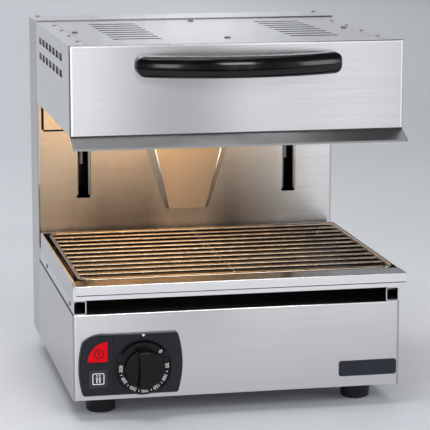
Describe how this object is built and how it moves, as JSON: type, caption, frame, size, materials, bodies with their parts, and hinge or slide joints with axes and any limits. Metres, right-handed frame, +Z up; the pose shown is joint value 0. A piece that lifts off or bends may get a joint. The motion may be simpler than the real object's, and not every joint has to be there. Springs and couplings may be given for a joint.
{
  "type": "rise and fall salamander grill",
  "caption": "Countertop grill with a heated hood that slides on a rear column above a wire grid and drip pan on a low base.",
  "frame": {"origin": "on the table, under the middle of the bounding box", "axes": "+Z up, +Y towards the back, +X to the right as seen from the front"},
  "size_m": [0.45, 0.496, 0.507],
  "materials": {
    "stainless": "brushed stainless sheet",
    "pan_steel": "brushed stainless sheet",
    "zinc_steel": "zinc plated sheet",
    "grid_wire": "bright wire, tinted by heat",
    "ground_rod": "ground and polished",
    "spring_steel": "oiled wire",
    "screws": "bright zinc",
    "bronze": "sintered",
    "element_sheath": "dark oxidised tube",
    "insulation": "mineral fibre slab",
    "black_plastic": "glossy black",
    "bezel_plastic": "satin black",
    "red_lens": "clear red",
    "dark_plate": "smooth dark plate",
    "foot_rubber": "moulded"
  },
  "bodies": {
    "cabinet": {"badge_plate": "dark_plate", "balance_springs": "spring_steel", "base_deck": "stainless", "base_floor": "zinc_steel", "base_front_panel": "stainless", "base_side_left": "stainless", "base_side_right": "stainless", "cable_gland": "black_plastic", "column_back": "stainless", "column_side_left": "stainless", "column_side_right": "stainless", "column_top_cover": "stainless", "control_bezel": "bezel_plastic", "cover_screws": "screws", "energy_regulator": "bezel_plastic", "foot_front_left": "foot_rubber", "foot_front_right": "foot_rubber", "foot_rear_left": "foot_rubber", "foot_rear_right": "foot_rubber", "foot_screws": "screws", "gland_locknut": "black_plastic", "guide_rod_left": "ground_rod", "guide_rod_right": "ground_rod", "pictogram_plate": "dark_plate", "pilot_lamp": "bezel_plastic", "pilot_lens": "red_lens", "rail_left": "stainless", "rail_right": "stainless", "rail_screws": "screws", "rod_bracket_lower": "zinc_steel", "rod_bracket_upper": "zinc_steel", "rod_screws": "screws", "splash_plate": "stainless", "terminal_block": "bezel_plastic", "wire_cover": "stainless"},
    "hood": {"hood_front_panel": "stainless", "visor": "stainless", "hood_side_left": "stainless", "hood_side_right": "stainless", "hood_top_plate": "stainless", "hood_rivets": "screws", "hood_studs": "screws", "hood_rear_wall": "stainless", "lift_handle": "black_plastic", "handle_screws": "screws", "reflector": "stainless", "insulation_slab": "insulation", "heat_shield": "zinc_steel", "heating_element_1": "element_sheath", "heating_element_2": "element_sheath", "heating_element_3": "element_sheath", "element_combs": "stainless", "lift_arm_left": "zinc_steel", "lift_arm_right": "zinc_steel", "slide_bushes": "bronze", "tie_bar": "zinc_steel"},
    "pan": {"grill_pan": "pan_steel"},
    "grid": {"wire_grid": "grid_wire"},
    "knob": {"control_knob": "black_plastic", "knob_shaft": "screws"}
  },
  "joints": [
    {"name": "hood_lift", "type": "slide", "parent": "cabinet", "child": "hood", "axis": [0, 0, 1], "range_m": [-0.13, 0], "deforming": ["balance_springs"]},
    {"name": "pan_slide", "type": "slide", "parent": "cabinet", "child": "pan", "axis": [0, -1, 0], "range_m": [0, 0.3]},
    {"name": "grid_lift", "type": "slide", "parent": "pan", "child": "grid", "axis": [0, 0, 1], "range_m": [0, 0.03]},
    {"name": "knob_turn", "type": "hinge", "parent": "cabinet", "child": "knob", "pos_m": [-0.1313, -0.202, 0.0739], "axis": [0, 1, 0], "range_deg": [0, 270]}
  ]
}
